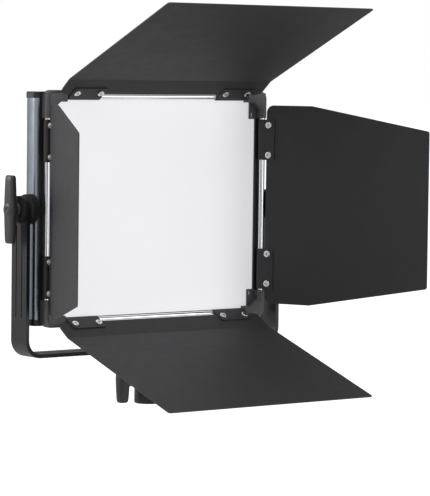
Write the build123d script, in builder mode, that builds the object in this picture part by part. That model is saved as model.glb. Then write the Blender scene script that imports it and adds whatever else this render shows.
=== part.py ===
from build123d import *
import math
import os

# LED panel light on a U-shaped yoke, with four barn-door leaves. Millimetres, +Z up.
# The origin is the mouth of the stand socket, on its axis. The light shines along -Y.

# ---- Driving dimensions ----
PIVOT_Z = 204.0            # tilt axis height above the socket mouth
RUN_CLEARANCE = 0.05       # radial clearance of every turning or sliding shaft

# Lamp housing
BODY_HALF_W = 147.2        # side rails
CAP_PROUD = 0.8            # end caps stand proud of the rails
RAIL_HALF_H = 111.0
HEAD_HALF_H = 117.3
BODY_FRONT = -7.0
BODY_REAR = 15.0
FRONT_RADIUS = 4.5
REAR_RADIUS = 8.0
RAIL_WALL = 2.2
CAP_WALL = 2.0
CAP_SCREW_X = 142.0
CAP_SCREW_Y = 9.8
BEZEL_HALF_W = 143.4
APERTURE_HALF_W = 131.0
APERTURE_HALF_H = 110.2
BEZEL_T = 1.8
COVER_HALF_W = 133.8
COVER_HALF_H = 110.8
COVER_T = 2.2
HUMP_HALF_W = 78.0
HUMP_TOP = 62.0
HUMP_BOTTOM = -78.0
HUMP_REAR = 36.0
HUMP_WALL = 2.2
HUMP_RADIUS = 10.0
HUMP_MID = (HUMP_TOP + HUMP_BOTTOM) / 2
HUMP_H = HUMP_TOP - HUMP_BOTTOM
COVER_FRONT = BODY_REAR - COVER_T
VENT_X = 104.0
VENT_PITCH = 11.0
VENT_COUNT = 15
VENT_LENGTH = 36.0
VENT_H = 3.4
COVER_SCREWS = [(x, z) for x in (-128.0, 128.0) for z in (-104.0, 0.0, 104.0)]
COVER_SCREWS += [(x, z) for x in (-60.0, 60.0) for z in (-104.0, 104.0)]
HEAD_SCREW_R = 2.8
COVER_SCREW_R = 1.6
CAP_SCREW_R = 1.3
CAP_SCREW_SINK = 1.6
CAP_CHAMFER = 0.8
FIT_GAP = 0.2              # total slack of a part that drops in between two others
THROUGH = 400.0            # longer than the whole light

# Light source, front to back
OPTIC_HALF_W = 133.4
OPTIC_HALF_H = 111.8
DIFFUSER_FRONT = BODY_FRONT + BEZEL_T
DIFFUSER_REAR = DIFFUSER_FRONT + 2.0
BEZEL_RIM_T = 2.0
BEZEL_RIM_DEPTH = 4.0
BEZEL_RIM_GAP = 0.2
REFLECTOR_WALL = 2.0
LED_BOARD_FRONT = 4.6
LED_BOARD_REAR = 6.2
LED_PITCH = (28.0, 27.0)
LED_COUNT = (9, 8)
LED_SIZE = (3.5, 2.8)
LED_PROUD = 0.8
HEAT_SINK_REAR = 8.2
HEAT_SINK_HALF_W = 137.5

# Barn-door frame
FRAME_FRONT = -16.0
STEP_DEPTH = 1.5
ROD_R = 2.6
ROD_X = 136.8
ROD_Z = 113.0
ROD_Y = -11.5
CORNER_FACE_X = 135.8
CORNER_FACE_Z = 116.0
CORNER_OUT_X = 140.2
CORNER_OUT_Z = 119.0
LEG_IN_X = 131.2
LEG_IN_Z = 107.4
LEG_END_X = 115.0
LEG_END_Z = 91.0
ROD_END_X = 130.0
ROD_END_Z = 105.0

# Leaves and their hinges. u runs out from the rod axis, n towards the lit side.
SHEET = 1.0
BARREL_R = 3.8
LEAF_START = 7.2
BRACKET_REACH = 16.8
SCREW_U = 10.5
SIDE_HALF_H = 104.6
SIDE_SHOULDER = 60.4
SIDE_REACH = 196.0
SIDE_TIP_HALF_H = 80.8
WIDE_HALF_W = 127.9
BEND_U = 30.2
BEND_ANGLE = 14.5
WIDE_PLATE = 179.0
LEAF_CORNER_R = 8.0
TIP_CORNER_R = 3.0
LEAF_ANGLE = {"left": 26.2, "right": 23.0, "top": 24.25, "bottom": 18.6}
SIDE_BRACKET = (47.0, 89.6)
SIDE_SCREWS = (52.2, 83.8)
WIDE_BRACKET = (74.5, 113.5)
WIDE_SCREWS = (79.6, 108.2)
SCREW_R = 1.5
SCREW_HEAD_R = 3.6
SCREW_HEAD_H = 1.8
NUT_ACROSS_R = 3.0
NUT_H = 2.0
LEAF_LOW = BARREL_R - 2 * SHEET
BRACKET_LOW = BARREL_R - SHEET
CROSS_LENGTH = 3.6
CROSS_W = 0.8
CROSS_DEPTH = 1.0

# Yoke and stand socket
ARM_IN_X = 157.6
ARM_OUT_X = 161.6
YOKE_DEPTH = 27.0
YOKE_BEND_R = 18.0
BAR_TOP = 59.0
BAR_BOTTOM = 55.0
GROOVE_Y = 5.0
GROOVE_W = 1.5
GROOVE_D = 0.8
PIVOT_R = 3.2
HUB_R = 15.0
HUB_FACE_X = 155.6
WASHER_FACE_X = 163.8
SOCKET_R = 14.5
SOCKET_BORE_R = 8.05
SOCKET_BORE_DEPTH = 38.0
CLAMP_Z = 26.0
CLAMP_STUD_R = 3.0
CLAMP_NECK_X = 14.7
CLAMP_NECK_R = 8.0
CLAMP_WING_X = 26.5
CLAMP_WING_T = 10.0
CLAMP_ROOT_HALF_W = 11.0
CLAMP_OUT_X = 40.0
CLAMP_HALF_LENGTH = 24.0
CLAMP_STUD_TIP_X = 8.1
BAR_SCREW_R = 3.0
BAR_SCREW_HEAD_R = 6.0
BAR_SCREW_LENGTH = 16.0
BAR_SCREW_TAP = 14.0

# Tilt pivots and tilt knob
BLOCK_Y = 1.3
BLOCK_DEPTH = 10.0
BLOCK_H = 28.0
BLOCK_T = 7.0
BLOCK_RADIUS = 2.0
BOLT_HEAD_R = 8.0
BOLT_HEAD_T = 4.4
HEX_SOCKET_R = 3.4
HEX_SOCKET_DEPTH = 3.0
SHAFT_END_X = 139.0
KNOB_WING_X = 169.2
KNOB_OUT_X = 175.6
KNOB_HUB_R = 8.2
KNOB_HUB_PROUD = 1.6
KNOB_HALF_LENGTH = 34.0
KNOB_TIP_HALF_W = 5.0

# Rear controls, measured from the tilt axis
DIAL_X = 50.0
DIAL_Z = 34.0
WINDOW_W = 50.0
WINDOW_H = 28.0
BUTTON_X = 15.0
BUTTON_Z = 6.0
LOW_ROW_Z = 2.0
ROCKER_HALF_W = 6.2
ROCKER_PIN_R = 1.2
ROCKER_PIN_Y = 34.8
ROCKER_PIN_PROUD = 0.4
BOARD_FACE = 28.6
PLATE_X = 38.0
PLATE_Z = -43.0
PLATE_W = 42.0
PLATE_H = 62.0
PLATE_T = 3.0
PLATE_RAIL_L = 50.0
PLATE_RAIL_X = 18.0
PLATE_RAIL_W = 3.0
PLATE_LIP_X = 17.0
PLATE_LIP_W = 5.0
PLATE_LIP_T = 1.5
BUTTON_SIZE = (12.0, 7.0)
BUTTON_RADIUS = 1.5
DIAL_R = 9.0
DIAL_H = 10.0
DIAL_SHAFT_R = 3.0
DIAL_GAP = 0.4
JACK_R = 5.5
BOARD_T = 1.6
DRIVER_BOARD_Y = 22.0
GLASS_T = 1.4


def face_plane(y):
    """Plane square to the light's axis at depth y: local x is X, local y is Z, out is -Y."""
    return Plane(origin=(0, y, PIVOT_Z), x_dir=(1, 0, 0), z_dir=(0, -1, 0))


def side_plane(x):
    """Plane square to the tilt axis at x: local x is Y, local y is Z, out is +X."""
    return Plane(origin=(x, 0, PIVOT_Z), x_dir=(0, 1, 0), z_dir=(1, 0, 0))


def finish(builder, label):
    """Label one finished piece and write it out."""
    builder.part.label = label
    export_step(builder.part, f"parts/{label}.step")


os.makedirs("parts", exist_ok=True)


# ---- Lamp housing ----
def housing_section(proud):
    """Outline of the extruded housing seen along Z, inside an open sketch."""
    depth = BODY_REAR + proud - BODY_FRONT
    with Locations((0, BODY_FRONT + depth / 2)):
        Rectangle(2 * (BODY_HALF_W + proud), depth)
    by_depth = vertices().group_by(Axis.Y)
    fillet(by_depth[0], FRONT_RADIUS + proud)
    fillet(vertices().group_by(Axis.Y)[-1], REAR_RADIUS + proud)


def side_rail(side, label):
    """One aluminium side extrusion, with a screw channel and the pivot hole."""
    with BuildPart() as rail:
        with BuildSketch(Plane.XY.offset(PIVOT_Z - RAIL_HALF_H)):
            housing_section(0)
            offset(amount=-RAIL_WALL, mode=Mode.SUBTRACT)
            with Locations((0, BODY_FRONT)):
                Rectangle(2 * BEZEL_HALF_W + FIT_GAP, 3 * RAIL_WALL, mode=Mode.SUBTRACT)
            with Locations((0, BODY_REAR)):
                Rectangle(2 * COVER_HALF_W + FIT_GAP, 3 * RAIL_WALL, mode=Mode.SUBTRACT)
            with Locations((-side * BODY_HALF_W, 0)):
                Rectangle(2 * BODY_HALF_W - 2, 60, mode=Mode.SUBTRACT)
            with Locations((side * CAP_SCREW_X, CAP_SCREW_Y)):
                Circle(3.2)
                Circle(CAP_SCREW_R, mode=Mode.SUBTRACT)
        extrude(amount=2 * RAIL_HALF_H)
        with Locations(side_plane(0)):
            Cylinder(PIVOT_R + RUN_CLEARANCE, THROUGH, mode=Mode.SUBTRACT)
    finish(rail, label)


side_rail(-1, "side_rail_left")
side_rail(1, "side_rail_right")


def end_cap(end, label):
    """Moulded cap over one end of the rails, open towards the lamp."""
    lip = PIVOT_Z + end * RAIL_HALF_H
    with BuildPart() as cap:
        with BuildSketch(Plane.XY.offset(lip)):
            housing_section(CAP_PROUD)
        extrude(amount=end * (HEAD_HALF_H - RAIL_HALF_H))
        chamfer(cap.faces().sort_by(Axis.Z)[-1 if end > 0 else 0].edges(), CAP_CHAMFER)
        with BuildSketch(Plane.XY.offset(lip)):
            housing_section(CAP_PROUD)
            offset(amount=-CAP_WALL, mode=Mode.REPLACE)
        extrude(amount=end * (HEAD_HALF_H - RAIL_HALF_H - CAP_WALL), mode=Mode.SUBTRACT)
        with BuildSketch(Plane.XY.offset(lip)):
            with Locations((0, BODY_FRONT)):
                Rectangle(2 * BEZEL_HALF_W + FIT_GAP, 2 * CAP_WALL)
        extrude(amount=end * 20, mode=Mode.SUBTRACT)
        outer_z = PIVOT_Z + end * HEAD_HALF_H
        with Locations((-CAP_SCREW_X, CAP_SCREW_Y, outer_z), (CAP_SCREW_X, CAP_SCREW_Y, outer_z)):
            Cylinder(COVER_SCREW_R, 20, mode=Mode.SUBTRACT)
            Cylinder(HEAD_SCREW_R, 2 * CAP_SCREW_SINK, mode=Mode.SUBTRACT)
    finish(cap, label)


end_cap(1, "top_cap")
end_cap(-1, "bottom_cap")

with BuildPart() as front_bezel:
    with BuildSketch(face_plane(BODY_FRONT + BEZEL_T)):
        RectangleRounded(2 * BEZEL_HALF_W, 2 * HEAD_HALF_H, 1)
        RectangleRounded(2 * APERTURE_HALF_W, 2 * APERTURE_HALF_H, 2, mode=Mode.SUBTRACT)
    extrude(amount=BEZEL_T)
    with BuildSketch(face_plane(BODY_FRONT + BEZEL_T)):
        rim_w = 2 * (OPTIC_HALF_W + BEZEL_RIM_GAP)
        rim_h = 2 * (OPTIC_HALF_H + BEZEL_RIM_GAP)
        Rectangle(rim_w + 2 * BEZEL_RIM_T, rim_h + 2 * BEZEL_RIM_T)
        Rectangle(rim_w, rim_h, mode=Mode.SUBTRACT)
    extrude(amount=-BEZEL_RIM_DEPTH)
    aperture_edges = front_bezel.faces().sort_by(Axis.Y)[0].inner_wires()[0].edges()
    chamfer(aperture_edges, 0.6)
finish(front_bezel, "front_bezel")

with BuildPart() as diffuser:
    with BuildSketch(face_plane(DIFFUSER_REAR)):
        Rectangle(2 * OPTIC_HALF_W, 2 * OPTIC_HALF_H)
    extrude(amount=DIFFUSER_REAR - DIFFUSER_FRONT)
finish(diffuser, "diffuser")

with BuildPart() as reflector:
    with BuildSketch(face_plane(LED_BOARD_FRONT)):
        Rectangle(2 * OPTIC_HALF_W, 2 * (COVER_HALF_H - FIT_GAP))
        inner_half_h = COVER_HALF_H - FIT_GAP - REFLECTOR_WALL
        Rectangle(2 * (OPTIC_HALF_W - REFLECTOR_WALL), 2 * inner_half_h, mode=Mode.SUBTRACT)
    extrude(amount=LED_BOARD_FRONT - DIFFUSER_REAR)
finish(reflector, "reflector_frame")

with BuildPart() as led_board:
    with BuildSketch(face_plane(LED_BOARD_REAR)):
        Rectangle(2 * OPTIC_HALF_W, 2 * (COVER_HALF_H - FIT_GAP))
    extrude(amount=LED_BOARD_REAR - LED_BOARD_FRONT)
finish(led_board, "led_board")

with BuildPart() as leds:
    with BuildSketch(face_plane(LED_BOARD_FRONT)):
        with GridLocations(*LED_PITCH, *LED_COUNT):
            Rectangle(*LED_SIZE)
    extrude(amount=LED_PROUD)
finish(leds, "leds")

with BuildPart() as heat_sink:
    with BuildSketch(face_plane(HEAT_SINK_REAR)):
        Rectangle(2 * HEAT_SINK_HALF_W, 2 * (COVER_HALF_H - FIT_GAP))
    extrude(amount=HEAT_SINK_REAR - LED_BOARD_REAR)
finish(heat_sink, "heat_sink_plate")

with BuildPart() as pivot_blocks:
    for side in (-1, 1):
        with BuildSketch(side_plane(side * (BODY_HALF_W - RAIL_WALL))):
            with Locations((BLOCK_Y, 0)):
                Rectangle(BLOCK_DEPTH, BLOCK_H)
        extrude(amount=-side * BLOCK_T)
    fillet(pivot_blocks.edges().filter_by(Axis.Z).group_by(Axis.Y)[0], BLOCK_RADIUS)
    with Locations(side_plane(0)):
        Cylinder(PIVOT_R + RUN_CLEARANCE, THROUGH, mode=Mode.SUBTRACT)
finish(pivot_blocks, "pivot_blocks")

with BuildPart() as hub_discs:
    for side in (-1, 1):
        with BuildSketch(side_plane(side * BODY_HALF_W)):
            Circle(HUB_R)
            Circle(PIVOT_R + RUN_CLEARANCE, mode=Mode.SUBTRACT)
        extrude(amount=side * (HUB_FACE_X - BODY_HALF_W))
        outer_face = hub_discs.faces().sort_by(Axis.X)[0 if side < 0 else -1]
        chamfer(outer_face.outer_wire().edges(), 1.0)
finish(hub_discs, "hub_discs")


# ---- Rear cover and its controls ----
with BuildPart() as rear_cover:
    with BuildSketch(face_plane(BODY_REAR)):
        Rectangle(2 * COVER_HALF_W, 2 * COVER_HALF_H)
    extrude(amount=COVER_T)
    with BuildSketch(face_plane(BODY_REAR)):
        with Locations((0, HUMP_MID)):
            RectangleRounded(2 * HUMP_HALF_W, HUMP_H, HUMP_RADIUS)
    extrude(amount=-(HUMP_REAR - BODY_REAR))
    fillet(rear_cover.faces().sort_by(Axis.Y)[-1].edges(), 4)
    with BuildSketch(face_plane(COVER_FRONT)):
        with Locations((0, HUMP_MID)):
            RectangleRounded(2 * (HUMP_HALF_W - HUMP_WALL), HUMP_H - 2 * HUMP_WALL,
                             HUMP_RADIUS - 2)
    extrude(amount=-(HUMP_REAR - HUMP_WALL - COVER_FRONT), mode=Mode.SUBTRACT)
    with BuildSketch(face_plane(BODY_REAR)):
        with Locations((-VENT_X, 0), (VENT_X, 0)):
            with GridLocations(0, VENT_PITCH, 1, VENT_COUNT):
                SlotOverall(VENT_LENGTH, VENT_H)
    extrude(amount=COVER_T, mode=Mode.SUBTRACT)
    with BuildSketch(face_plane(HUMP_REAR)):
        with Locations((0, DIAL_Z)):
            Rectangle(WINDOW_W, WINDOW_H)
        with Locations((-DIAL_X, DIAL_Z), (DIAL_X, DIAL_Z)):
            Circle(3.2)
        with Locations((-BUTTON_X, BUTTON_Z), (BUTTON_X, BUTTON_Z)):
            RectangleRounded(BUTTON_SIZE[0] + 0.4, BUTTON_SIZE[1] + 0.4, BUTTON_RADIUS + 0.2)
        with Locations((-DIAL_X, LOW_ROW_Z)):
            Rectangle(13.6, 19.8)
        with Locations((DIAL_X, LOW_ROW_Z)):
            Circle(JACK_R)
    extrude(amount=HUMP_WALL, mode=Mode.SUBTRACT)
    with BuildSketch(face_plane(BODY_REAR)):
        with Locations(*COVER_SCREWS):
            Circle(COVER_SCREW_R)
    extrude(amount=COVER_T, mode=Mode.SUBTRACT)
finish(rear_cover, "rear_cover")

with BuildPart() as display_window:
    with BuildSketch(face_plane(HUMP_REAR)):
        with Locations((0, DIAL_Z)):
            Rectangle(WINDOW_W, WINDOW_H)
    extrude(amount=GLASS_T)
finish(display_window, "display_window")

with BuildPart() as display_module:
    with BuildSketch(face_plane(BOARD_FACE)):
        with Locations((0, DIAL_Z)):
            Rectangle(WINDOW_W - 4, WINDOW_H - 4)
    extrude(amount=-(HUMP_REAR - GLASS_T - BOARD_FACE))
finish(display_module, "display_module")

with BuildPart() as control_board:
    with BuildSketch(face_plane(BOARD_FACE)):
        with Locations((0, 26)):
            Rectangle(130, 62)
        with Locations((-DIAL_X, LOW_ROW_Z)):
            Rectangle(18, 24, mode=Mode.SUBTRACT)
        with Locations((-DIAL_X, DIAL_Z), (DIAL_X, DIAL_Z)):
            Circle(DIAL_SHAFT_R + RUN_CLEARANCE, mode=Mode.SUBTRACT)
    extrude(amount=BOARD_T)
finish(control_board, "control_board")

with BuildPart() as driver_board:
    with BuildSketch(face_plane(DRIVER_BOARD_Y)):
        with Locations((0, PLATE_Z)):
            Rectangle(130, 56)
    extrude(amount=BOARD_T)
finish(driver_board, "driver_board")


def dial(x, label):
    """Knurled turning knob with its own shaft, which runs in the control board."""
    with BuildPart() as knob:
        with BuildSketch(face_plane(HUMP_REAR + DIAL_GAP)):
            with Locations((x, DIAL_Z)):
                Circle(DIAL_R)
                with PolarLocations(DIAL_R, 24):
                    Circle(0.5, mode=Mode.SUBTRACT)
        extrude(amount=-DIAL_H)
        chamfer(knob.faces().sort_by(Axis.Y)[-1].edges().filter_by(GeomType.CIRCLE), 0.6)
        with BuildSketch(face_plane(HUMP_REAR + DIAL_GAP)):
            with Locations((x, DIAL_Z)):
                Circle(DIAL_SHAFT_R)
        extrude(amount=HUMP_REAR + DIAL_GAP - BOARD_FACE + 1)
    finish(knob, label)


dial(-DIAL_X, "brightness_dial")
dial(DIAL_X, "colour_dial")


def push_button(x, label):
    """Rectangular button that passes through the rear wall."""
    with BuildPart() as button:
        with BuildSketch(face_plane(HUMP_REAR + 1.4)):
            with Locations((x, BUTTON_Z)):
                RectangleRounded(*BUTTON_SIZE, BUTTON_RADIUS)
        extrude(amount=6)
        fillet(button.faces().sort_by(Axis.Y)[-1].edges(), 0.5)
    finish(button, label)


push_button(-BUTTON_X, "mode_button")
push_button(BUTTON_X, "memory_button")

with BuildPart() as power_rocker:
    with BuildSketch(side_plane(-DIAL_X - ROCKER_HALF_W)):
        with BuildLine():
            Polyline((30, LOW_ROW_Z - 9), (37.4, LOW_ROW_Z - 9), (36.2, LOW_ROW_Z),
                     (37.4, LOW_ROW_Z + 9), (30, LOW_ROW_Z + 9), close=True)
        make_face()
    extrude(amount=2 * ROCKER_HALF_W)
    with BuildSketch(side_plane(-DIAL_X - ROCKER_HALF_W - ROCKER_PIN_PROUD)):
        with Locations((ROCKER_PIN_Y, LOW_ROW_Z)):
            Circle(ROCKER_PIN_R)
    extrude(amount=2 * (ROCKER_HALF_W + ROCKER_PIN_PROUD))
finish(power_rocker, "power_rocker")

with BuildPart() as dc_jack:
    with BuildSketch(face_plane(HUMP_REAR + 0.6)):
        with Locations((DIAL_X, LOW_ROW_Z)):
            Circle(JACK_R)
    extrude(amount=8)
    with BuildSketch(face_plane(HUMP_REAR + 0.6)):
        with Locations((DIAL_X, LOW_ROW_Z)):
            Circle(3.6)
            Circle(1.0, mode=Mode.SUBTRACT)
    extrude(amount=6, mode=Mode.SUBTRACT)
finish(dc_jack, "dc_jack")


def battery_plate(x, label, latch_label):
    """Slide-on battery plate with two undercut rails, and its spring latch."""
    with BuildPart() as plate:
        with BuildSketch(face_plane(HUMP_REAR)):
            with Locations((x, PLATE_Z)):
                RectangleRounded(PLATE_W, PLATE_H, 3)
        extrude(amount=-PLATE_T)
        with BuildSketch(face_plane(HUMP_REAR + PLATE_T)):
            with Locations((x - PLATE_RAIL_X, PLATE_Z + 3), (x + PLATE_RAIL_X, PLATE_Z + 3)):
                Rectangle(PLATE_RAIL_W, PLATE_RAIL_L)
        extrude(amount=-PLATE_T)
        with BuildSketch(face_plane(HUMP_REAR + 2 * PLATE_T)):
            with Locations((x - PLATE_LIP_X, PLATE_Z + 3), (x + PLATE_LIP_X, PLATE_Z + 3)):
                Rectangle(PLATE_LIP_W, PLATE_RAIL_L)
        extrude(amount=-PLATE_LIP_T)
        with BuildSketch(face_plane(HUMP_REAR + PLATE_T)):
            with Locations((x, PLATE_Z - 24)):
                Rectangle(10.2, 11)
        extrude(amount=2, mode=Mode.SUBTRACT)
    finish(plate, label)
    with BuildPart() as latch:
        with BuildSketch(face_plane(HUMP_REAR + 1.05)):
            with Locations((x, PLATE_Z - 22.6)):
                Rectangle(10, 8)
        extrude(amount=-4.5)
        chamfer(latch.faces().sort_by(Axis.Y)[-1].edges().sort_by(Axis.Z)[-1], 1.5)
    finish(latch, latch_label)


battery_plate(-PLATE_X, "battery_plate_left", "battery_latch_left")
battery_plate(PLATE_X, "battery_plate_right", "battery_latch_right")

with BuildPart() as housing_screws:
    with BuildSketch(face_plane(BODY_REAR)):
        with Locations(*COVER_SCREWS):
            Circle(COVER_SCREW_R)
    extrude(amount=4)
    with BuildSketch(face_plane(BODY_REAR)):
        with Locations(*COVER_SCREWS):
            Circle(HEAD_SCREW_R)
    extrude(amount=-1.4)
    for end in (-1, 1):
        with BuildSketch(Plane.XY.offset(PIVOT_Z + end * (HEAD_HALF_H - CAP_SCREW_SINK))):
            with Locations((-CAP_SCREW_X, CAP_SCREW_Y), (CAP_SCREW_X, CAP_SCREW_Y)):
                Circle(HEAD_SCREW_R)
        extrude(amount=end * 1.2)
        with BuildSketch(Plane.XY.offset(PIVOT_Z + end * (HEAD_HALF_H - CAP_SCREW_SINK))):
            with Locations((-CAP_SCREW_X, CAP_SCREW_Y), (CAP_SCREW_X, CAP_SCREW_Y)):
                Circle(CAP_SCREW_R)
        extrude(amount=-end * 10)
finish(housing_screws, "housing_screws")


# ---- Barn-door frame ----
def corner_piece(sx, sz, label):
    """Moulded corner that holds the ends of two hinge rods and clips to the bezel."""
    def spot(x, z):
        return (sx * x, sz * z)

    with BuildPart() as corner:
        with BuildSketch(face_plane(BODY_FRONT)):
            with BuildLine():
                Polyline(spot(LEG_END_X, CORNER_OUT_Z), spot(CORNER_OUT_X, CORNER_OUT_Z),
                         spot(CORNER_OUT_X, LEG_END_Z), spot(LEG_IN_X, LEG_END_Z),
                         spot(LEG_IN_X, 100.5), spot(123, LEG_IN_Z),
                         spot(LEG_END_X, LEG_IN_Z), close=True)
            make_face()
            outer = vertices().sort_by(lambda v: sx * v.X + sz * v.Y)[-1]
            fillet(outer, 8)
        extrude(amount=BODY_FRONT - FRAME_FRONT - STEP_DEPTH)
        with BuildSketch(face_plane(FRAME_FRONT + STEP_DEPTH)):
            with BuildLine():
                Polyline(spot(LEG_END_X, CORNER_FACE_Z), spot(CORNER_FACE_X, CORNER_FACE_Z),
                         spot(CORNER_FACE_X, LEG_END_Z), spot(LEG_IN_X, LEG_END_Z),
                         spot(LEG_IN_X, 100.5), spot(123, LEG_IN_Z),
                         spot(LEG_END_X, LEG_IN_Z), close=True)
            make_face()
            fillet(vertices().sort_by(lambda v: sx * v.X + sz * v.Y)[-1], 6)
        extrude(amount=STEP_DEPTH)
        front_edges = corner.faces().sort_by(Axis.Y)[0].edges()
        chamfer(front_edges, 0.7)
        with BuildSketch(face_plane(BODY_FRONT)):
            with Locations(spot(126.6, 98.7)):
                Rectangle(9.3, 17.4)
            with Locations(spot(125.2, 94)):
                Rectangle(1.5, 4, mode=Mode.SUBTRACT)
        extrude(amount=1.4)
        with Locations(Pos(sx * ROD_X, ROD_Y, PIVOT_Z + sz * (ROD_END_Z + 0.5) / 2)):
            Cylinder(ROD_R + RUN_CLEARANCE, ROD_END_Z + 0.5, mode=Mode.SUBTRACT)
        with Locations(Pos(sx * (ROD_END_X + 0.5) / 2, ROD_Y, PIVOT_Z + sz * ROD_Z) * Rot(0, 90, 0)):
            Cylinder(ROD_R + RUN_CLEARANCE, ROD_END_X + 0.5, mode=Mode.SUBTRACT)
    finish(corner, label)


for row, sz in (("top", 1), ("bottom", -1)):
    for column, sx in (("left", -1), ("right", 1)):
        corner_piece(sx, sz, f"frame_corner_{row}_{column}")

for column, sx in (("left", -1), ("right", 1)):
    with BuildPart() as rod:
        with BuildSketch(Plane.XY.offset(PIVOT_Z - ROD_END_Z)):
            with Locations((sx * ROD_X, ROD_Y)):
                Circle(ROD_R)
        extrude(amount=2 * ROD_END_Z)
    finish(rod, f"hinge_rod_{column}")

for row, sz in (("top", 1), ("bottom", -1)):
    with BuildPart() as rod:
        with BuildSketch(side_plane(-ROD_END_X)):
            with Locations((ROD_Y, sz * ROD_Z)):
                Circle(ROD_R)
        extrude(amount=2 * ROD_END_X)
    finish(rod, f"hinge_rod_{row}")


# ---- Barn-door leaves ----
def hinge_frame(name):
    """Middle of the rod, outward direction of the hinge strip, and lit-side normal."""
    angle = math.radians(LEAF_ANGLE[name])
    if name in ("left", "right"):
        sx = -1 if name == "left" else 1
        origin = (sx * ROD_X, ROD_Y, PIVOT_Z)
        along = (sx * math.sin(angle), -math.cos(angle), 0)
        lit = (-sx * math.cos(angle), -math.sin(angle), 0)
        return origin, along, lit
    sz = 1 if name == "top" else -1
    angle += math.radians(BEND_ANGLE)
    origin = (0, ROD_Y, PIVOT_Z + sz * ROD_Z)
    along = (0, -math.cos(angle), sz * math.sin(angle))
    lit = (0, -math.sin(angle), -sz * math.cos(angle))
    return origin, along, lit


def sheet_plane(name, height):
    """Plane of the hinge strip at a height above the rod axis: local x is u."""
    origin, along, lit = hinge_frame(name)
    return Plane(origin=origin, x_dir=along, z_dir=lit).offset(height)


def end_plane(name, place):
    """Plane square to the rod: local x is u and local y is the lit side."""
    origin, along, lit = hinge_frame(name)
    base = Plane(origin=origin, x_dir=along, z_dir=Vector(*along).cross(Vector(*lit)))
    return base.offset(place)


def screw_spots(places):
    """The four fastener spots of one leaf, in its sheet plane."""
    return [(SCREW_U, sign * place) for sign in (-1, 1) for place in places]


def side_leaf(name):
    """Flat sheet leaf of one side, tapering outwards."""
    with BuildPart() as leaf:
        with BuildSketch(sheet_plane(name, LEAF_LOW)):
            with BuildLine():
                Polyline((LEAF_START, -SIDE_HALF_H), (SIDE_SHOULDER, -SIDE_HALF_H),
                         (SIDE_REACH, -SIDE_TIP_HALF_H), (SIDE_REACH, SIDE_TIP_HALF_H),
                         (SIDE_SHOULDER, SIDE_HALF_H), (LEAF_START, SIDE_HALF_H), close=True)
            make_face()
            fillet(vertices().group_by(Axis.X)[0], LEAF_CORNER_R)
            fillet(vertices().group_by(Axis.X)[-1], TIP_CORNER_R)
            with Locations(*screw_spots(SIDE_SCREWS)):
                Circle(SCREW_R + 0.1, mode=Mode.SUBTRACT)
        extrude(amount=SHEET)
    finish(leaf, f"leaf_{name}")


def wide_leaf(name):
    """Top or bottom leaf: a hinge strip and a main plate, bent towards the lit side."""
    bend = math.radians(BEND_ANGLE)
    middle = LEAF_LOW + SHEET / 2
    mitre = SHEET / 2 / math.cos(bend / 2)
    mitre_u = mitre * math.sin(bend / 2)
    mitre_n = mitre * math.cos(bend / 2)
    tip_u = BEND_U + WIDE_PLATE * math.cos(bend)
    tip_n = middle + WIDE_PLATE * math.sin(bend)
    tip_du = SHEET / 2 * math.sin(bend)
    tip_dn = SHEET / 2 * math.cos(bend)
    with BuildPart() as leaf:
        with BuildSketch(end_plane(name, 0)):
            with BuildLine():
                Polyline((LEAF_START, LEAF_LOW), (BEND_U + mitre_u, middle - mitre_n),
                         (tip_u + tip_du, tip_n - tip_dn), (tip_u - tip_du, tip_n + tip_dn),
                         (BEND_U - mitre_u, middle + mitre_n),
                         (LEAF_START, LEAF_LOW + SHEET), close=True)
            make_face()
        extrude(amount=WIDE_HALF_W, both=True)
        corners = leaf.edges().filter_by(lambda e: abs(e.length - SHEET) < 0.005)
        by_depth = corners.sort_by(Axis.Y)
        fillet(by_depth[-2:], LEAF_CORNER_R)
        corners = leaf.edges().filter_by(lambda e: abs(e.length - SHEET) < 0.005)
        fillet(corners.sort_by(Axis.Y)[:2], TIP_CORNER_R)
        with BuildSketch(sheet_plane(name, LEAF_LOW)):
            with Locations(*screw_spots(WIDE_SCREWS)):
                Circle(SCREW_R + 0.1)
        extrude(amount=SHEET, mode=Mode.SUBTRACT)
    finish(leaf, f"leaf_{name}")


def hinge_brackets(name, span, places):
    """Two rolled sheet brackets that turn on the rod and carry the leaf."""
    length = span[1] - span[0]
    with BuildPart() as brackets:
        for start in (-span[1], span[0]):
            with BuildSketch(end_plane(name, start)):
                Circle(BARREL_R)
                with Locations((BRACKET_REACH / 2, BRACKET_LOW + SHEET / 2)):
                    Rectangle(BRACKET_REACH, SHEET)
                Circle(ROD_R + RUN_CLEARANCE, mode=Mode.SUBTRACT)
            extrude(amount=length)
        with BuildSketch(sheet_plane(name, BRACKET_LOW)):
            with Locations(*screw_spots(places)):
                Circle(SCREW_R + 0.1)
        extrude(amount=SHEET, mode=Mode.SUBTRACT)
    finish(brackets, f"hinge_brackets_{name}")


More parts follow.
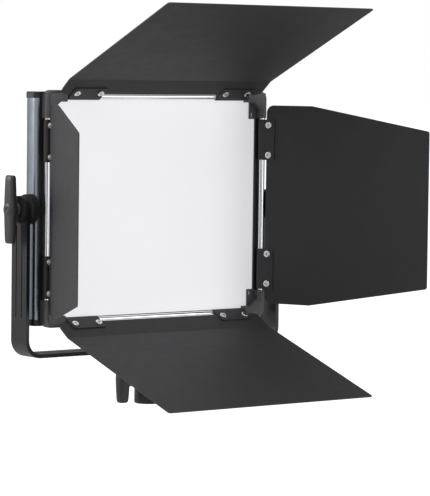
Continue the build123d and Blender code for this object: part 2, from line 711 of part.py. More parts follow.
def leaf_fasteners(name, places):
    """Pan-head screws on the lit side, and the nuts behind the leaf."""
    spots = screw_spots(places)
    with BuildPart() as screws:
        with BuildSketch(sheet_plane(name, BARREL_R)):
            with Locations(*spots):
                Circle(SCREW_HEAD_R)
        extrude(amount=SCREW_HEAD_H)
        crowns = screws.faces().filter_by(sheet_plane(name, 0)).filter_by(
            lambda f: abs(sheet_plane(name, BARREL_R + SCREW_HEAD_H).to_local_coords(f.center()).Z) < 0.01)
        fillet(crowns.edges(), 0.9)
        with BuildSketch(sheet_plane(name, BARREL_R + SCREW_HEAD_H)):
            with Locations(*spots):
                Rectangle(CROSS_LENGTH, CROSS_W)
                Rectangle(CROSS_W, CROSS_LENGTH)
        extrude(amount=-CROSS_DEPTH, mode=Mode.SUBTRACT)
        with BuildSketch(sheet_plane(name, BARREL_R)):
            with Locations(*spots):
                Circle(SCREW_R)
        extrude(amount=-(2 * SHEET + NUT_H + 0.4))
    finish(screws, f"leaf_screws_{name}")
    with BuildPart() as nuts:
        with BuildSketch(sheet_plane(name, LEAF_LOW)):
            with Locations(*spots):
                RegularPolygon(NUT_ACROSS_R, 6)
                Circle(SCREW_R, mode=Mode.SUBTRACT)
        extrude(amount=-NUT_H)
    finish(nuts, f"leaf_nuts_{name}")


for leaf_name in ("left", "right"):
    side_leaf(leaf_name)
    hinge_brackets(leaf_name, SIDE_BRACKET, SIDE_SCREWS)
    leaf_fasteners(leaf_name, SIDE_SCREWS)
for leaf_name in ("top", "bottom"):
    wide_leaf(leaf_name)
    hinge_brackets(leaf_name, WIDE_BRACKET, WIDE_SCREWS)
    leaf_fasteners(leaf_name, WIDE_SCREWS)


# ---- Yoke, pivots and tilt knob ----
with BuildPart() as yoke:
    with BuildSketch(Plane.XZ.offset(-YOKE_DEPTH / 2)):
        with Locations((0, BAR_BOTTOM)):
            Rectangle(2 * ARM_OUT_X, PIVOT_Z + YOKE_DEPTH / 2 - BAR_BOTTOM, align=(Align.CENTER, Align.MIN))
        fillet(vertices().group_by(Axis.Y)[0], YOKE_BEND_R)
    extrude(amount=YOKE_DEPTH)
    with BuildSketch(Plane.XZ.offset(-YOKE_DEPTH / 2)):
        with Locations((0, BAR_TOP)):
            Rectangle(2 * ARM_IN_X, PIVOT_Z, align=(Align.CENTER, Align.MIN))
        fillet(vertices().group_by(Axis.Y)[0], YOKE_BEND_R - (BAR_TOP - BAR_BOTTOM))
    extrude(amount=YOKE_DEPTH, mode=Mode.SUBTRACT)
    tips = yoke.edges().filter_by(Axis.X).group_by(Axis.Z)[-1]
    fillet(tips, YOKE_DEPTH / 2 - 0.01)
    for side in (-1, 1):
        with BuildSketch(side_plane(side * ARM_OUT_X)):
            with Locations((-GROOVE_Y, -62), (GROOVE_Y, -62)):
                Rectangle(GROOVE_W, 92)
        extrude(amount=-side * GROOVE_D, mode=Mode.SUBTRACT)
    with Locations(side_plane(0)):
        Cylinder(PIVOT_R + RUN_CLEARANCE, THROUGH, mode=Mode.SUBTRACT)
    with Locations((0, 0, BAR_TOP)):
        CounterSinkHole(BAR_SCREW_R, BAR_SCREW_HEAD_R, counter_sink_angle=90)
finish(yoke, "yoke")

with BuildPart() as friction_washers:
    for side in (-1, 1):
        with BuildSketch(side_plane(side * HUB_FACE_X)):
            Circle(YOKE_DEPTH / 2)
            Circle(PIVOT_R + RUN_CLEARANCE, mode=Mode.SUBTRACT)
        extrude(amount=side * (ARM_IN_X - HUB_FACE_X))
finish(friction_washers, "friction_washers")

with BuildPart() as outer_washers:
    for side in (-1, 1):
        with BuildSketch(side_plane(side * ARM_OUT_X)):
            Circle(YOKE_DEPTH / 2)
            Circle(PIVOT_R + RUN_CLEARANCE, mode=Mode.SUBTRACT)
        extrude(amount=side * (WASHER_FACE_X - ARM_OUT_X))
finish(outer_washers, "outer_washers")

with BuildPart() as tilt_knob:
    with BuildSketch(side_plane(-KNOB_WING_X)):
        with BuildLine():
            Polyline((-KNOB_HUB_R, 0), (-KNOB_TIP_HALF_W, KNOB_HALF_LENGTH),
                     (KNOB_TIP_HALF_W, KNOB_HALF_LENGTH), (KNOB_HUB_R, 0),
                     (KNOB_TIP_HALF_W, -KNOB_HALF_LENGTH),
                     (-KNOB_TIP_HALF_W, -KNOB_HALF_LENGTH), close=True)
        make_face()
        fillet(vertices().group_by(Axis.Y)[0] + vertices().group_by(Axis.Y)[-1], KNOB_TIP_HALF_W - 0.6)
    extrude(amount=-(KNOB_OUT_X - KNOB_WING_X))
    with BuildSketch(side_plane(-WASHER_FACE_X)):
        Circle(KNOB_HUB_R)
    extrude(amount=-(KNOB_OUT_X + KNOB_HUB_PROUD - WASHER_FACE_X))
    fillet(tilt_knob.faces().sort_by(Axis.X)[0].edges(), 1.4)
    with BuildSketch(side_plane(-WASHER_FACE_X)):
        Circle(PIVOT_R)
    extrude(amount=WASHER_FACE_X - SHAFT_END_X)
finish(tilt_knob, "tilt_knob")

with BuildPart() as tilt_bolt:
    with BuildSketch(side_plane(SHAFT_END_X)):
        Circle(PIVOT_R)
    extrude(amount=WASHER_FACE_X - SHAFT_END_X)
    with BuildSketch(side_plane(WASHER_FACE_X)):
        Circle(BOLT_HEAD_R)
    extrude(amount=BOLT_HEAD_T)
    chamfer(tilt_bolt.faces().sort_by(Axis.X)[-1].edges(), 0.8)
    with BuildSketch(side_plane(WASHER_FACE_X + BOLT_HEAD_T)):
        RegularPolygon(HEX_SOCKET_R, 6)
    extrude(amount=-HEX_SOCKET_DEPTH, mode=Mode.SUBTRACT)
finish(tilt_bolt, "tilt_bolt")



# ---- Stand socket ----
def clamp_plane(x):
    """Plane square to the clamp screw at -x, out is -X."""
    return Plane(origin=(-x, 0, CLAMP_Z), x_dir=(0, 1, 0), z_dir=(-1, 0, 0))


with BuildPart() as stand_socket:
    with BuildSketch(Plane.XY):
        Circle(SOCKET_R)
    extrude(amount=BAR_BOTTOM)
    chamfer(stand_socket.faces().sort_by(Axis.Z)[0].edges(), 1.0)
    with BuildSketch(Plane.XY):
        Circle(SOCKET_BORE_R)
    extrude(amount=SOCKET_BORE_DEPTH, mode=Mode.SUBTRACT)
    with BuildSketch(Plane.XY.offset(BAR_BOTTOM)):
        Circle(BAR_SCREW_R)
    extrude(amount=-BAR_SCREW_TAP, mode=Mode.SUBTRACT)
    with BuildSketch(clamp_plane(0)):
        Circle(CLAMP_STUD_R + RUN_CLEARANCE)
    extrude(amount=SOCKET_R + 1, mode=Mode.SUBTRACT)
finish(stand_socket, "stand_socket")

with BuildPart() as socket_screw:
    with BuildSketch(Plane.XY.offset(BAR_TOP)):
        Circle(BAR_SCREW_HEAD_R)
    extrude(amount=-(BAR_SCREW_HEAD_R - BAR_SCREW_R), taper=45)
    with BuildSketch(Plane.XY.offset(BAR_TOP)):
        Circle(BAR_SCREW_R)
    extrude(amount=-BAR_SCREW_LENGTH)
    with BuildSketch(Plane.XY.offset(BAR_TOP)):
        RegularPolygon(2.3, 6)
    extrude(amount=-2.4, mode=Mode.SUBTRACT)
finish(socket_screw, "socket_screw")

with BuildPart() as clamp_knob:
    with BuildSketch(clamp_plane(CLAMP_NECK_X)):
        Circle(CLAMP_NECK_R)
    extrude(amount=CLAMP_WING_X + 4 - CLAMP_NECK_X)
    with BuildSketch(Plane(origin=(0, -CLAMP_WING_T / 2, CLAMP_Z), x_dir=(-1, 0, 0), z_dir=(0, 1, 0))):
        with BuildLine():
            Polyline((CLAMP_WING_X, -CLAMP_ROOT_HALF_W), (CLAMP_WING_X + 3, -CLAMP_HALF_LENGTH),
                     (CLAMP_OUT_X - 2, -CLAMP_HALF_LENGTH), (CLAMP_OUT_X, 0),
                     (CLAMP_OUT_X - 2, CLAMP_HALF_LENGTH), (CLAMP_WING_X + 3, CLAMP_HALF_LENGTH),
                     (CLAMP_WING_X, CLAMP_ROOT_HALF_W), close=True)
        make_face()
        fillet(vertices().group_by(Axis.Y)[0] + vertices().group_by(Axis.Y)[-1], 3.5)
    extrude(amount=CLAMP_WING_T)
    with BuildSketch(clamp_plane(CLAMP_STUD_TIP_X)):
        Circle(CLAMP_STUD_R)
    extrude(amount=CLAMP_NECK_X - CLAMP_STUD_TIP_X)
finish(clamp_knob, "clamp_knob")
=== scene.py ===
import bmesh
import bpy
import math
from mathutils import Matrix, Vector


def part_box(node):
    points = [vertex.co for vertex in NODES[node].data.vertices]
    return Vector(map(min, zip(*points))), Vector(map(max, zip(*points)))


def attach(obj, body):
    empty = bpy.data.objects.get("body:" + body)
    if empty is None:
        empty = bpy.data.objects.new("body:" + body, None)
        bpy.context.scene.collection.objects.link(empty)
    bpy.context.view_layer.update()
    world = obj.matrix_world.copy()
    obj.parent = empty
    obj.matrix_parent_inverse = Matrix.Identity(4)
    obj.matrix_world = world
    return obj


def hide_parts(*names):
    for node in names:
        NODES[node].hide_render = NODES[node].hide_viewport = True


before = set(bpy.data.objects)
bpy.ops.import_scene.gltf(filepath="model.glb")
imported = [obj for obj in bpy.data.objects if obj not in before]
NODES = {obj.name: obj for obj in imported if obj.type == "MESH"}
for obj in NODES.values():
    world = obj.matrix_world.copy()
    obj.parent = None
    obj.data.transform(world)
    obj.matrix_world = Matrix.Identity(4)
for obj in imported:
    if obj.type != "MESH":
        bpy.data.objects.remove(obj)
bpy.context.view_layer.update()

LEAVES = ("left", "right", "top", "bottom")

# Metres, degrees and watts
CREVICE_SHADE_REACH = 0.0015         # how far the painted shade in crevices spreads from a corner
CROWN_RADIUS = 0.045           # the rail's flank shades like a curve of this radius
CROWN_PEAK = 0.20              # where the crown peaks, as a share of the rail's depth from its front
RAIL_COLOUR = (0.36, 0.395, 0.43)
LEAF_COLOUR = (0.024, 0.024, 0.0252)
# diffuser glow at its left and at its right edge; the lower right value is painted shade from the right
# leaf
GLOW_LEFT, GLOW_RIGHT_IN_SHADE = 0.72, 0.54
LEAF_SHADE_FALL = 0.06               # painted shade of the right leaf lowers the diffuser's glow over this width at its right edge
RIM_WIDTH = 0.0003
RIM_ANGLE = 40
WING_STEPS = 18
BAR_COUNT = 9
BAR_PITCH = 0.0042
FLOOR_HALF_SIZE = 30.0
FLOOR_HEIGHT = -0.35
FLOOR_GLOW = 0.85
WORLD_LEFT, WORLD_RIGHT = 0.72, 0.27
CAMERA_TURN = (37.66, 3.63, -0.72)
CAMERA_PLACE = (-1.6876, -2.2969, 0.3423)
CAMERA_LENS = 200.6
# name, place, aim, size and power
LIGHTS = [
    ("key_left", (-1.4, -1.2, 2.0), (0, 0, 0.2), (1.2, 1.2), 8),
    ("front_right", (1.6, -2.1, 0.5), (0, 0, 0.2), (1.0, 1.4), 8),
    ("top", (0.1, -0.7, 2.2), (0, -0.1, 0.2), (1.6, 1.6), 12),
    ("strip_rear_left", (-1.25, 1.25, 0.70), (-0.15, 0, 0.28), (0.3, 0.6), 8),
]


# ---- Material tools ----
class Graph:
    """A material's node tree, with short calls to add and join nodes."""

    def __init__(self, name):
        self.material = bpy.data.materials.new(name)
        self.material.use_nodes = True
        self.tree = self.material.node_tree
        self.shader = self.tree.nodes["Principled BSDF"]
        self.place = self.node("ShaderNodeTexCoord").outputs["Object"]

    def node(self, kind, **settings):
        made = self.tree.nodes.new(kind)
        for key, value in settings.items():
            setattr(made, key, value)
        return made

    def join(self, source, target):
        self.tree.links.new(source, target)

    def math(self, operation, first, second, clamp=False):
        made = self.node("ShaderNodeMath", operation=operation, use_clamp=clamp)
        for socket, value in zip(made.inputs, (first, second)):
            if isinstance(value, (int, float)):
                socket.default_value = value
            else:
                self.join(value, socket)
        return made.outputs[0]

    def noise(self, grain, stretch=(1, 1, 1), detail=4.0):
        """Noise whose features are about grain metres wide."""
        mapping = self.node("ShaderNodeMapping")
        mapping.inputs["Scale"].default_value = stretch
        self.join(self.place, mapping.inputs["Vector"])
        made = self.node("ShaderNodeTexNoise")
        made.inputs["Scale"].default_value = 1 / grain
        made.inputs["Detail"].default_value = detail
        self.join(mapping.outputs[0], made.inputs["Vector"])
        return made.outputs["Fac"]

    def cells(self, grain):
        """Distance to the edges of cells about grain metres wide, as in leather grain."""
        made = self.node("ShaderNodeTexVoronoi", feature="DISTANCE_TO_EDGE")
        made.inputs["Scale"].default_value = 1 / grain
        self.join(self.place, made.inputs["Vector"])
        return made.outputs["Distance"]

    def span(self, value, low, high):
        """Maps a 0 to 1 value to low to high."""
        made = self.node("ShaderNodeMapRange")
        made.inputs["To Min"].default_value = low
        made.inputs["To Max"].default_value = high
        self.join(value, made.inputs["Value"])
        return made.outputs[0]

    def mix(self, amount, first, second):
        made = self.node("ShaderNodeMix", data_type="RGBA")
        self.join(amount, made.inputs["Factor"])
        for socket, value in ((made.inputs["A"], first), (made.inputs["B"], second)):
            if isinstance(value, tuple):
                socket.default_value = (*value, 1)
            else:
                self.join(value, socket)
        return made.outputs["Result"]

    def edges(self, width):
        """1 along sharp outer edges, 0 elsewhere."""
        bevel = self.node("ShaderNodeBevel", samples=4)
        bevel.inputs["Radius"].default_value = width
        flat = self.node("ShaderNodeNewGeometry").outputs["Normal"]
        dot = self.node("ShaderNodeVectorMath", operation="DOT_PRODUCT")
        self.join(bevel.outputs[0], dot.inputs[0])
        self.join(flat, dot.inputs[1])
        turned = self.math("SUBTRACT", 1.0, dot.outputs["Value"])
        return self.math("MULTIPLY", turned, 6.0, clamp=True)

    def bump(self, height, strength, depth):
        made = self.node("ShaderNodeBump")
        made.inputs["Strength"].default_value = strength
        made.inputs["Distance"].default_value = depth
        self.join(height, made.inputs["Height"])
        self.join(made.outputs[0], self.shader.inputs["Normal"])


def finish_surface(graph, colour, rough, edge_wear_and_highlight, edge_wear_and_highlight_width, mottle=0.12, patch=0.03):
    """Colour with soft mottling, worn edges lightened also as a painted edge highlight, painted shade
    darkening crevices, and an uneven sheen.
    """
    patches = graph.noise(patch, detail=3)
    dark = tuple(c * (1 - mottle) for c in colour)
    light = tuple(c * (1 + mottle) for c in colour)
    base = graph.mix(patches, dark, light)
    speckle = graph.noise(0.0015)
    # lighter edges: partly real wear, partly a painted edge highlight
    amount = graph.math("MULTIPLY", graph.edges(edge_wear_and_highlight_width), graph.math("MULTIPLY", speckle, 1.1))
    worn_and_highlit = graph.mix(amount, base, edge_wear_and_highlight)
    # painted shade: ambient occlusion darkens the colour to a quarter of itself in crevices and corners
    shade = graph.node("ShaderNodeAmbientOcclusion", samples=4, only_local=True)
    shade.inputs["Distance"].default_value = CREVICE_SHADE_REACH
    painted_crevice_shade = tuple(c * 0.25 for c in colour)
    graph.join(graph.mix(shade.outputs["AO"], painted_crevice_shade, worn_and_highlit), graph.shader.inputs["Base Color"])
    sheen = graph.span(graph.noise(0.012), rough - 0.06, rough + 0.08)
    graph.join(sheen, graph.shader.inputs["Roughness"])


def powder_coat(name, colour, rough=0.55, grain=0.0007):
    graph = Graph(name)
    finish_surface(graph, colour, rough, tuple(c * 3 + 0.05 for c in colour), 0.0006)
    graph.bump(graph.noise(grain, detail=2), 0.35, 0.00012)
    return graph.material


def textured_plastic(name, colour, rough=0.5, grain=0.0009, depth=0.0002):
    graph = Graph(name)
    finish_surface(graph, colour, rough, tuple(c * 2 + 0.03 for c in colour), 0.0005)
    graph.bump(graph.cells(grain), 0.5, depth)
    return graph.material


def smooth_plastic(name, colour, rough=0.3):
    graph = Graph(name)
    finish_surface(graph, colour, rough, tuple(c * 2 + 0.03 for c in colour), 0.0004)
    graph.bump(graph.noise(0.0004, detail=2), 0.12, 0.00006)
    return graph.material


def bare_metal(name, colour, rough=0.3, stretch=(1, 1, 1), grain=0.0006, mottle=0.08, depth=0.00004):
    """Machined, drawn or anodised metal, with fine lines along the long direction."""
    graph = Graph(name)
    graph.shader.inputs["Metallic"].default_value = 1.0
    # lighter edge colour: real wear and a painted edge highlight
    edge_wear_and_highlight = tuple(min(1.0, c * 1.3 + 0.08) for c in colour)
    finish_surface(graph, colour, rough, edge_wear_and_highlight, 0.0003, mottle)
    graph.bump(graph.noise(grain, stretch, 3), 0.2, depth)
    return graph.material


def anodised_rail(name):
    """Blue-grey anodised extrusion whose flank is slightly crowned, with fine drawing lines."""
    graph = Graph(name)
    graph.shader.inputs["Metallic"].default_value = 1.0
    finish_surface(graph, RAIL_COLOUR, 0.3, tuple(c * 1.3 for c in RAIL_COLOUR), 0.0003, 0.05)
    low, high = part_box("side_rail_left")
    axis = graph.node("ShaderNodeSeparateXYZ")
    graph.join(graph.place, axis.inputs[0])
    peak = low.y * (1 - CROWN_PEAK) + high.y * CROWN_PEAK
    across = graph.math("SUBTRACT", axis.outputs["Y"], peak)
    crown = graph.math("MULTIPLY", graph.math("MULTIPLY", across, across), -0.5 / CROWN_RADIUS)
    lines = graph.math("MULTIPLY", graph.noise(0.0004, (1, 1, 0.03), 3), 0.000002)
    graph.bump(graph.math("ADD", crown, lines), 1.0, 1.0)
    return graph.material


def opal_sheet(name):
    """Lit opal diffuser, its glow lowered towards its right edge as painted shade from the right leaf."""
    graph = Graph(name)
    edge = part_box("diffuser")[1].x
    axis = graph.node("ShaderNodeSeparateXYZ")
    graph.join(graph.place, axis.inputs[0])
    # painted shade: this mask lowers the glow towards the diffuser's right edge
    across = graph.node("ShaderNodeMapRange", interpolation_type="SMOOTHSTEP")
    across.inputs["From Min"].default_value = edge - LEAF_SHADE_FALL
    across.inputs["From Max"].default_value = edge + 0.01
    graph.join(axis.outputs["X"], across.inputs["Value"])
    graph.shader.inputs["Base Color"].default_value = (0.3, 0.3, 0.3, 1)
    graph.shader.inputs["Roughness"].default_value = 0.45
    cloud = graph.span(graph.noise(0.08, detail=2), 0.97, 1.0)
    glow = graph.math("MULTIPLY", graph.span(across.outputs[0], GLOW_LEFT, GLOW_RIGHT_IN_SHADE), cloud)
    graph.join(glow, graph.shader.inputs["Emission Strength"])
    graph.shader.inputs["Emission Color"].default_value = (0.97, 0.965, 1.0, 1)
    graph.bump(graph.noise(0.0005, detail=2), 0.1, 0.00004)
    return graph.material


def circuit_board(name):
    graph = Graph(name)
    finish_surface(graph, (0.01, 0.08, 0.03), 0.35, (0.3, 0.25, 0.1), 0.0004, 0.3, 0.004)
    graph.bump(graph.cells(0.004), 0.3, 0.0001)
    return graph.material


def dark_glass(name):
    graph = Graph(name)
    finish_surface(graph, (0.006, 0.007, 0.009), 0.08, (0.05, 0.05, 0.05), 0.0003)
    graph.shader.inputs["Coat Weight"].default_value = 1.0
    return graph.material


PAINT = {
    "leaf": powder_coat("leaf_powder_coat", LEAF_COLOUR, 0.6),
    "bracket": powder_coat("bracket_powder_coat", (0.02, 0.02, 0.022), 0.5),
    "yoke": powder_coat("yoke_satin_black", (0.007, 0.007, 0.008), 0.38, 0.0005),
    "corner": textured_plastic("corner_leather_grain", (0.072, 0.072, 0.074), 0.42, 0.0017, 0.0008),
    "cap": textured_plastic("cap_textured_plastic", (0.012, 0.012, 0.013), 0.42),
    "cover": textured_plastic("cover_textured_plastic", (0.016, 0.016, 0.017), 0.5),
    "knob": smooth_plastic("knob_smooth_plastic", (0.036, 0.036, 0.038), 0.36),
    "rail": anodised_rail("rail_blue_grey_anodised"),
    "chrome": bare_metal("rod_polished_chrome", (0.92, 0.93, 0.94), 0.12, (1, 1, 1), 0.004, 0.02, 0.000001),
    "screw": bare_metal("screw_zinc", (0.85, 0.85, 0.83), 0.24),
    "steel": bare_metal("black_oxide_steel", (0.05, 0.05, 0.052), 0.35),
    "plain_metal": bare_metal("machined_aluminium", (0.55, 0.56, 0.58), 0.35, (0.05, 1, 1)),
    "rubber": textured_plastic("washer_rubber", (0.01, 0.01, 0.01), 0.75, 0.0007),
    "opal": opal_sheet("diffuser_opal"),
    "white": smooth_plastic("reflector_white", (0.8, 0.8, 0.8), 0.4),
    "board": circuit_board("green_circuit_board"),
    "phosphor": smooth_plastic("led_phosphor", (0.8, 0.65, 0.2), 0.3),
    "glass": dark_glass("smoked_window"),
    "module": smooth_plastic("display_module", (0.05, 0.06, 0.06), 0.3),
    "bars": smooth_plastic("display_bars", (0.35, 0.6, 0.75), 0.3),
    "mark": smooth_plastic("dial_mark_paint", (0.7, 0.7, 0.7), 0.4),
    "gold": bare_metal("gold_contact", (0.8, 0.6, 0.25), 0.25),
}
LOOKS = {
    "leaf": ["leaf_" + name for name in LEAVES],
    "bracket": ["hinge_brackets_" + name for name in LEAVES],
    "screw": [part + name for part in ("leaf_screws_", "leaf_nuts_") for name in LEAVES],
    "chrome": ["hinge_rod_" + name for name in LEAVES],
    "corner": [f"frame_corner_{row}_{side}" for row in ("top", "bottom")
               for side in ("left", "right")],
    "yoke": ["yoke", "stand_socket"],
    "cap": ["top_cap", "bottom_cap", "front_bezel"],
    "cover": ["rear_cover", "battery_plate_left", "battery_plate_right"],
    "knob": ["tilt_knob", "clamp_knob", "brightness_dial", "colour_dial", "mode_button",
             "memory_button", "power_rocker", "battery_latch_left", "battery_latch_right",
             "dc_jack"],
    "rail": ["side_rail_left", "side_rail_right"],
    "steel": ["housing_screws", "socket_screw", "tilt_bolt"],
    "plain_metal": ["heat_sink_plate", "pivot_blocks"],
    "rubber": ["outer_washers", "friction_washers", "hub_discs"],
    "opal": ["diffuser"],
    "white": ["reflector_frame"],
    "board": ["led_board", "control_board", "driver_board"],
    "phosphor": ["leds"],
    "glass": ["display_window"],
    "module": ["display_module"],
}


def paint(obj, look):
    """One material over every slot of an object."""
    obj.data.materials.clear()
    obj.data.materials.append(PAINT[look])


for look, names in LOOKS.items():
    for name in names:
        for slot in NODES[name].material_slots:
            slot.material = PAINT[look]
        if not NODES[name].material_slots:
            NODES[name].data.materials.append(PAINT[look])


# ---- Mesh tools ----
def piece(name, mesh, body, look, smooth=True):
    """A finished piece of the object from a bmesh, riding on its body."""
    bmesh.ops.recalc_face_normals(mesh, faces=mesh.faces)
    data = bpy.data.meshes.new(name)
    mesh.to_mesh(data)
    mesh.free()
    for face in data.polygons:
        face.use_smooth = smooth
    obj = bpy.data.objects.new(name, data)
    bpy.context.scene.collection.objects.link(obj)
    paint(obj, look)
    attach(obj, body)
    return obj


def loft(mesh, rings):
    """Joins closed rings of points one after the other, with a flat cap at each end."""
    rows = [[mesh.verts.new(point) for point in ring] for ring in rings]
    count = len(rows[0])
    for low, high in zip(rows, rows[1:]):
        for i in range(count):
            j = (i + 1) % count
            mesh.faces.new((low[i], low[j], high[j], high[i]))
    mesh.faces.new(list(reversed(rows[0])))
    mesh.faces.new(rows[-1])


def rounded_ring(centre, half_a, half_b, axis_a, axis_b, power, count=32):
    """Ring of points on a rounded rectangle round a centre."""
    points = []
    for i in range(count):
        turn = 2 * math.pi * (i + 0.5) / count
        cos, sin = math.cos(turn), math.sin(turn)
        a = math.copysign(abs(cos) ** (2 / power), cos) * half_a
        b = math.copysign(abs(sin) ** (2 / power), sin) * half_b
        points.append(centre + axis_a * a + axis_b * b)
    return points


def turned(mesh, origin, axis, side, profile, count=40):
    """Solid of revolution: profile is a list of (distance along the axis, radius)."""
    other = axis.cross(side)
    rings = []
    for along, radius in profile:
        centre = origin + axis * along
        turns = [2 * math.pi * i / count for i in range(count)]
        rings.append([centre + side * (radius * math.cos(turn)) + other * (radius * math.sin(turn))
                      for turn in turns])
    loft(mesh, rings)


X, Y, Z = Vector((1, 0, 0)), Vector((0, 1, 0)), Vector((0, 0, 1))


def wing(mesh, centre, thickness, widths, half_length):
    """T-handle bar along Z: wide at its hub, tapered and rounded at both tips."""
    rings = []
    for i in range(WING_STEPS + 1):
        place = math.sin(math.pi * (i / WING_STEPS - 0.5))
        share = abs(place)
        round_off = math.sqrt(max(0.0, 1 - share ** 24))
        taper = widths[0] + (widths[1] - widths[0]) * share ** 0.8
        width = taper * (0.8 + 0.2 * round_off)
        depth = thickness * (1 - 0.15 * share ** 2) * (0.6 + 0.4 * round_off)
        rings.append(rounded_ring(centre + Z * (place * half_length), depth, width, X, Y, 3.2))
    loft(mesh, rings)


def tilt_knob():
    """Moulded T-handle of the tilt clamp: a stepped hub and a tapered wing."""
    low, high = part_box("tilt_knob")
    middle = (low + high) / 2
    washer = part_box("outer_washers")[0].x
    hub_radius = (high.y - low.y) / 2
    length = washer - low.x
    mesh = bmesh.new()
    hub = [(0, 0.86), (0.04, 0.95), (0.22, 0.97), (0.27, 0.88), (0.33, 0.88), (0.38, 0.97),
           (0.80, 0.99), (0.90, 0.92), (0.97, 0.72), (1.0, 0.42), (1.0, 0.30), (0.96, 0.26),
           (0.96, 0.05)]
    origin = Vector((washer, middle.y, middle.z))
    turned(mesh, origin, -X, Y, [(share * length, hub_radius * radius) for share, radius in hub])
    wing_centre = Vector((low.x + length * 0.36, middle.y, middle.z))
    widths = (hub_radius * 1.06, hub_radius * 0.84)
    wing(mesh, wing_centre, length * 0.29, widths, (high.z - low.z) / 2)
    shaft = high.x - washer
    stud = [(-0.001, 0.0031), (shaft - 0.0008, 0.0031), (shaft, 0.0024)]
    turned(mesh, origin, X, Y, stud, 24)
    obj = piece("tilt_knob_handle", mesh, "tilt_knob", "knob")
    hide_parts("tilt_knob")
    soften(obj)


def clamp_knob():
    """Moulded T-handle of the stand socket's clamp screw."""
    low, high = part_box("clamp_knob")
    middle = (low + high) / 2
    socket_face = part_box("stand_socket")[0].x
    hub_radius = (high.y - low.y) / 2
    neck = socket_face - 0.0003
    length = neck - low.x
    mesh = bmesh.new()
    origin = Vector((neck, middle.y, middle.z))
    hub = [(0, 0.8), (0.03, 0.9), (0.12, 0.93), (0.15, 0.84), (0.2, 0.84), (0.23, 0.94),
           (0.5, 0.99), (0.66, 0.9), (0.8, 0.6), (0.84, 0.2)]
    turned(mesh, origin, -X, Y, [(share * length, hub_radius * radius) for share, radius in hub])
    wing_centre = Vector((low.x + length * 0.29, middle.y, middle.z))
    widths = (hub_radius * 0.72, hub_radius * 0.5)
    wing(mesh, wing_centre, length * 0.28, widths, (high.z - low.z) / 2)
    shaft = high.x - origin.x
    turned(mesh, origin, X, Y, [(-0.001, 0.0029), (shaft - 0.0006, 0.0029), (shaft, 0.0022)], 24)
    obj = piece("clamp_knob_handle", mesh, "clamp_knob", "knob")
    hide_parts("clamp_knob")
    soften(obj)


def slab(mesh, centre, size):
    """Upright box of a given size, given as (x, y, z)."""
    half = Vector(size) / 2
    ring = [Vector((x * half.x, 0, z * half.z)) for x, z in ((-1, -1), (1, -1), (1, 1), (-1, 1))]
    loft(mesh, [[centre + point + Y * (side * half.y) for point in ring] for side in (-1, 1)])


def display_bars():
    """Level bars over a rule, on the display window's outer face, with no lettering."""
    low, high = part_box("display_window")
    middle = (low + high) / 2
    mesh = bmesh.new()
    face = high.y + 0.00005
    for i in range(BAR_COUNT):
        height = 0.003 + 0.0012 * i
        across = middle.x + (i - (BAR_COUNT - 1) / 2) * BAR_PITCH
        slab(mesh, Vector((across, face, low.z + 0.007 + height / 2)), (0.0026, 0.00016, height))
    slab(mesh, Vector((middle.x, face, low.z + 0.005)), (0.040, 0.00016, 0.0006))
    piece("display_bars", mesh, "head", "bars", smooth=False)


def dial_marks():
    """Painted pointer line on the face of each dial."""
    for name in ("brightness_dial", "colour_dial"):
        low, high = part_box(name)
        middle = (low + high) / 2
        mesh = bmesh.new()
        centre = Vector((middle.x, high.y, middle.z + 0.0052))
        slab(mesh, centre, (0.0009, 0.0002, 0.0045))
        piece(name + "_mark", mesh, name, "mark", smooth=False)


def battery_contacts():
    """Three sprung contacts on each battery plate."""
    for side in ("left", "right"):
        low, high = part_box("battery_plate_" + side)
        middle = (low + high) / 2
        mesh = bmesh.new()
        for place in (-1, 0, 1):
            centre = Vector((middle.x + place * 0.0055, low.y + 0.0032, high.z - 0.012))
            slab(mesh, centre, (0.0024, 0.0012, 0.009))
        obj = piece("battery_contacts_" + side, mesh, "head", "gold", smooth=False)
        soften(obj)


def soften(obj):
    """Sharp rims keep a small radius."""
    bevel = obj.modifiers.new("rims", "BEVEL")
    bevel.width = RIM_WIDTH
    bevel.segments = 2
    bevel.limit_method = "ANGLE"
    bevel.angle_limit = math.radians(RIM_ANGLE)


# ---- Scene ----
def soft_light(name, place, aim, size, power):
    data = bpy.data.lights.new(name, "AREA")
    data.shape = "RECTANGLE"
    data.size, data.size_y = size
    data.energy = power
    obj = bpy.data.objects.new(name, data)
    obj.visible_camera = False
    obj.location = place
    obj.rotation_mode = "QUATERNION"
    obj.rotation_quaternion = (Vector(aim) - Vector(place)).to_track_quat("-Z", "Y")
    bpy.context.scene.collection.objects.link(obj)


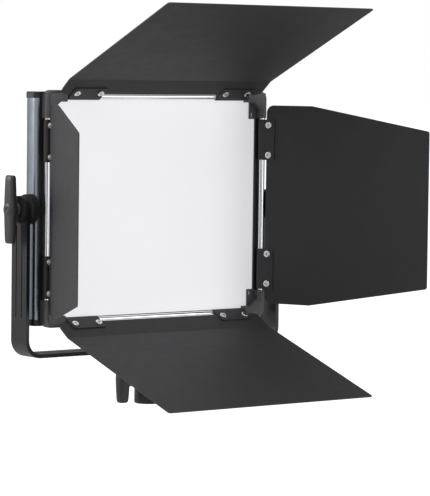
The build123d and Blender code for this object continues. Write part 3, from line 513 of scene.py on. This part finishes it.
def studio():
    """White surroundings for the camera, softer and darker ones for the reflections."""
    world = bpy.data.worlds.new("studio")
    bpy.context.scene.world = world
    world.use_nodes = True
    nodes, links = world.node_tree.nodes, world.node_tree.links
    output = nodes["World Output"]
    seen = nodes["Background"]
    seen.inputs["Color"].default_value = (1, 1, 1, 1)
    seen.inputs["Strength"].default_value = 1.0
    lit = nodes.new("ShaderNodeBackground")
    lit.inputs["Color"].default_value = (0.97, 0.98, 1, 1)
    axis = nodes.new("ShaderNodeSeparateXYZ")
    links.new(nodes.new("ShaderNodeTexCoord").outputs["Generated"], axis.inputs[0])
    side = nodes.new("ShaderNodeMapRange")
    side.interpolation_type = "SMOOTHSTEP"
    side.inputs["From Min"].default_value = -1
    side.inputs["From Max"].default_value = 1
    side.inputs["To Min"].default_value = WORLD_LEFT
    side.inputs["To Max"].default_value = WORLD_RIGHT
    links.new(axis.outputs["X"], side.inputs["Value"])
    links.new(side.outputs[0], lit.inputs["Strength"])
    rays = nodes.new("ShaderNodeLightPath")
    mix = nodes.new("ShaderNodeMixShader")
    links.new(rays.outputs["Is Camera Ray"], mix.inputs[0])
    links.new(lit.outputs[0], mix.inputs[1])
    links.new(seen.outputs[0], mix.inputs[2])
    links.new(mix.outputs[0], output.inputs["Surface"])
    bpy.context.scene.view_settings.view_transform = "Standard"


def floor():
    """Plain pale floor, below the lowest reach of every leaf."""
    mesh = bmesh.new()
    corners = [(x * FLOOR_HALF_SIZE, y * FLOOR_HALF_SIZE, FLOOR_HEIGHT)
               for x, y in ((-1, -1), (1, -1), (1, 1), (-1, 1))]
    mesh.faces.new([mesh.verts.new(corner) for corner in corners])
    data = bpy.data.meshes.new("floor")
    mesh.to_mesh(data)
    mesh.free()
    obj = bpy.data.objects.new("floor", data)
    bpy.context.scene.collection.objects.link(obj)
    graph = Graph("pale_floor")
    shade = graph.mix(graph.noise(0.6, detail=2), (0.86, 0.86, 0.86), (0.9, 0.9, 0.9))
    graph.join(shade, graph.shader.inputs["Base Color"])
    graph.shader.inputs["Roughness"].default_value = 0.9
    graph.join(shade, graph.shader.inputs["Emission Color"])
    seen = graph.node("ShaderNodeLightPath").outputs["Is Camera Ray"]
    graph.join(graph.math("MULTIPLY", seen, FLOOR_GLOW), graph.shader.inputs["Emission Strength"])
    data.materials.append(graph.material)


def camera():
    """Long lens from the front left, a little above the tilt axis."""
    yaw, pitch, roll = (math.radians(angle) for angle in CAMERA_TURN)
    flat = math.cos(pitch)
    ahead = Vector((math.sin(yaw) * flat, math.cos(yaw) * flat, -math.sin(pitch)))
    level = Vector((math.cos(yaw), -math.sin(yaw), 0))
    down = ahead.cross(level)
    right = level * math.cos(roll) + down * math.sin(roll)
    up = level * math.sin(roll) - down * math.cos(roll)
    data = bpy.data.cameras.new("camera")
    data.lens = CAMERA_LENS
    data.sensor_width = 36
    data.clip_end = 100
    obj = bpy.data.objects.new("camera", data)
    turn = Matrix((right, up, -ahead)).transposed().to_4x4()
    obj.matrix_world = Matrix.Translation(CAMERA_PLACE) @ turn
    bpy.context.scene.collection.objects.link(obj)
    bpy.context.scene.camera = obj


tilt_knob()
clamp_knob()
display_bars()
dial_marks()
battery_contacts()
studio()
floor()
camera()
for light in LIGHTS:
    soft_light(*light)
